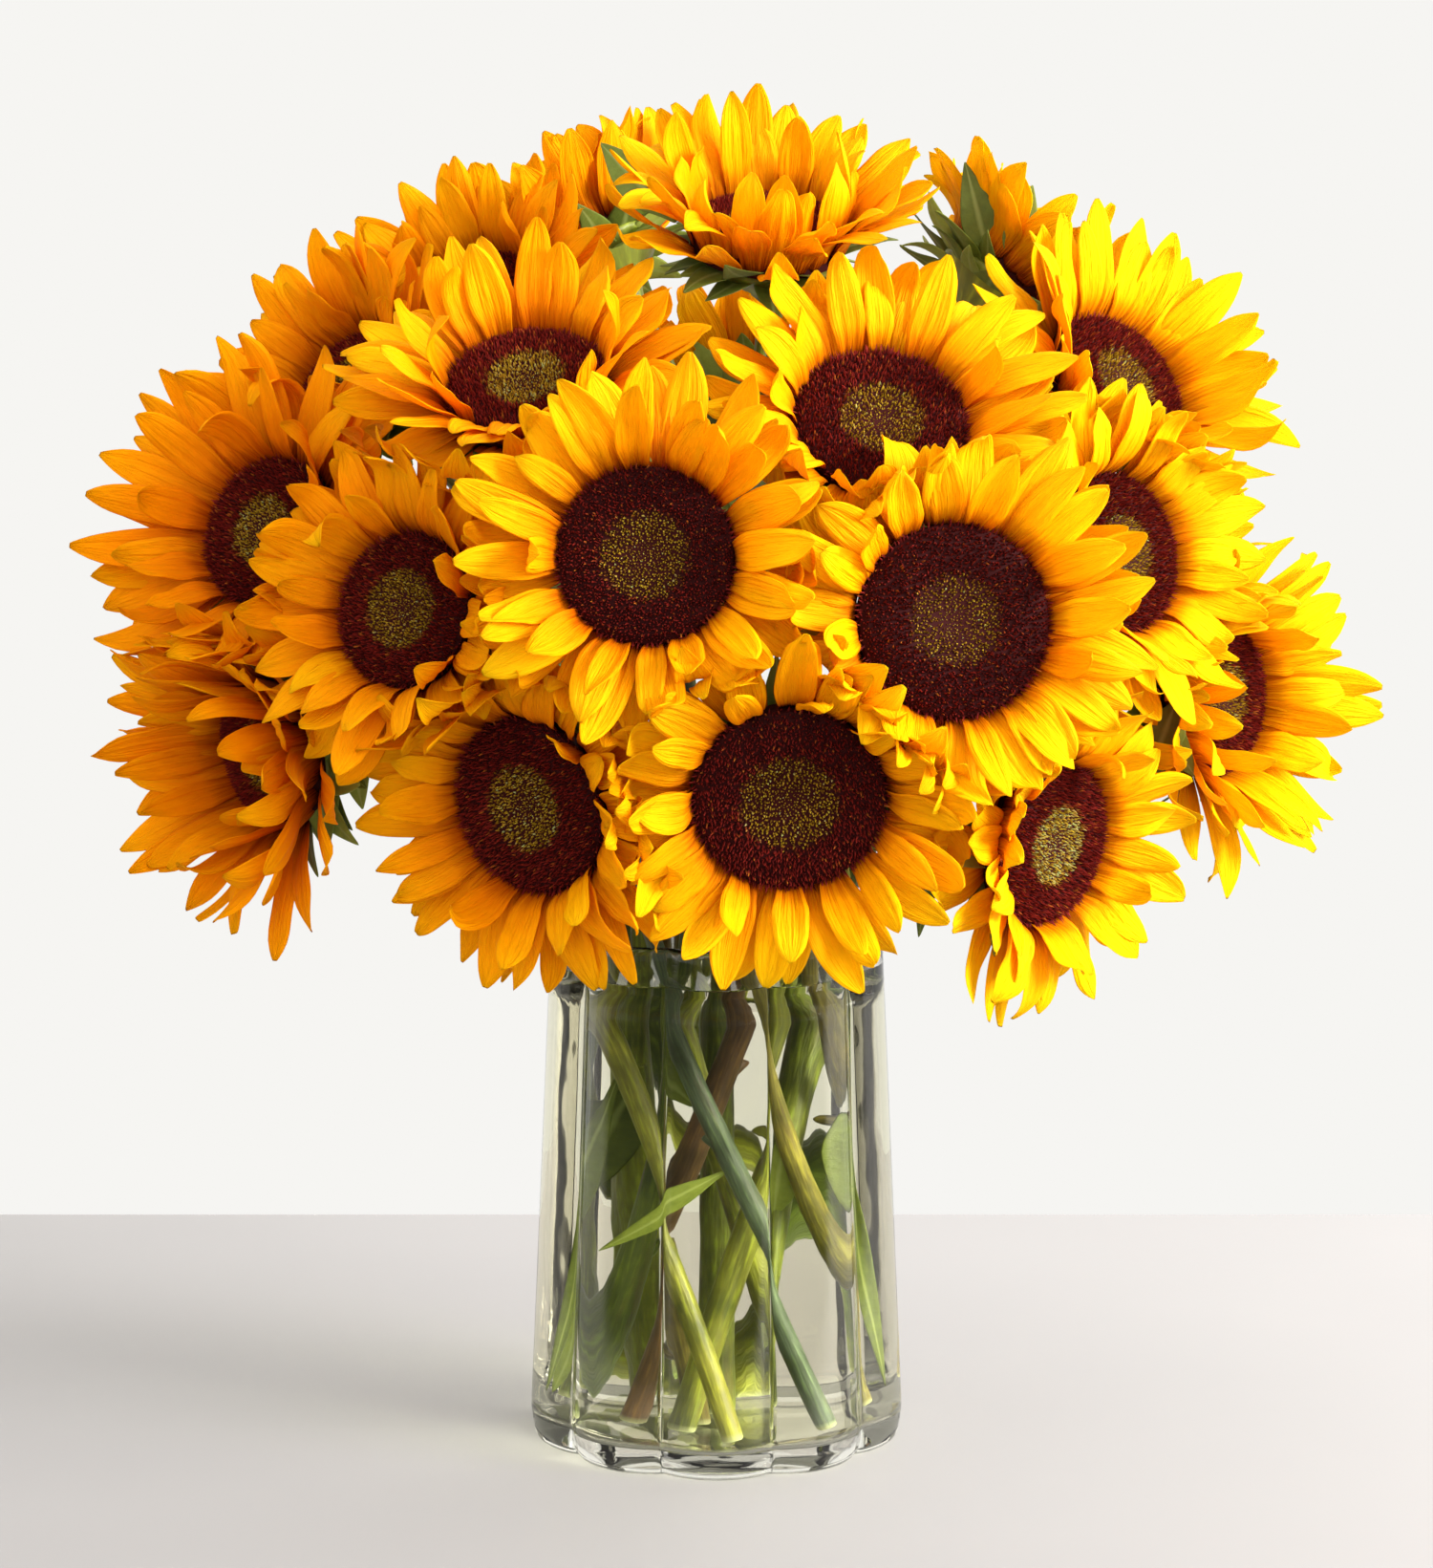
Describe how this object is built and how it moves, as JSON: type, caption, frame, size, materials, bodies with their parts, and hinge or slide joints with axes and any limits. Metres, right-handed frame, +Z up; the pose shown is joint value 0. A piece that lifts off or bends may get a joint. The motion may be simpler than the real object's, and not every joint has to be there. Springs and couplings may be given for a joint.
{
  "type": "sunflowers in a vase",
  "caption": "Bouquet of dark-centred sunflowers on bare green stems, standing in a clear fluted glass vase of water.",
  "frame": {"origin": "centre of the vase's foot, on the surface that it stands on", "axes": "+Z up, -Y towards the front of the bouquet, +X to its right"},
  "size_m": [0.4567, 0.3596, 0.4815],
  "materials": {
    "petals": "satin",
    "florets": "matte",
    "green": "satin",
    "glass": "polished",
    "water": "polished"
  },
  "bodies": {
    "root": {"petals_01": "petals", "petals_02": "petals", "petals_03": "petals", "petals_04": "petals", "petals_05": "petals", "petals_06": "petals", "petals_07": "petals", "petals_08": "petals", "petals_09": "petals", "petals_10": "petals", "petals_11": "petals", "petals_12": "petals", "petals_13": "petals", "petals_14": "petals", "petals_15": "petals", "petals_16": "petals", "bloom_17": "petals", "bloom_18": "petals", "bloom_19": "petals", "bloom_20": "petals", "bloom_21": "petals", "disc_01": "florets", "disc_02": "florets", "disc_03": "florets", "disc_04": "florets", "disc_05": "florets", "disc_06": "florets", "disc_07": "florets", "disc_08": "florets", "disc_09": "florets", "disc_10": "florets", "disc_11": "florets", "disc_12": "florets", "disc_13": "florets", "disc_14": "florets", "disc_15": "florets", "disc_16": "florets", "stalk_01": "green", "stalk_02": "green", "stalk_03": "green", "stalk_04": "green", "stalk_05": "green", "stalk_06": "green", "stalk_07": "green", "stalk_08": "green", "stalk_09": "green", "stalk_10": "green", "stalk_11": "green", "stalk_12": "green", "stalk_13": "green", "stalk_14": "green", "stalk_15": "green", "stalk_16": "green", "stalk_17": "green", "stalk_18": "green", "stalk_19": "green", "stalk_20": "green", "stalk_21": "green", "vase": "glass", "water": "water"}
  },
  "joints": []
}
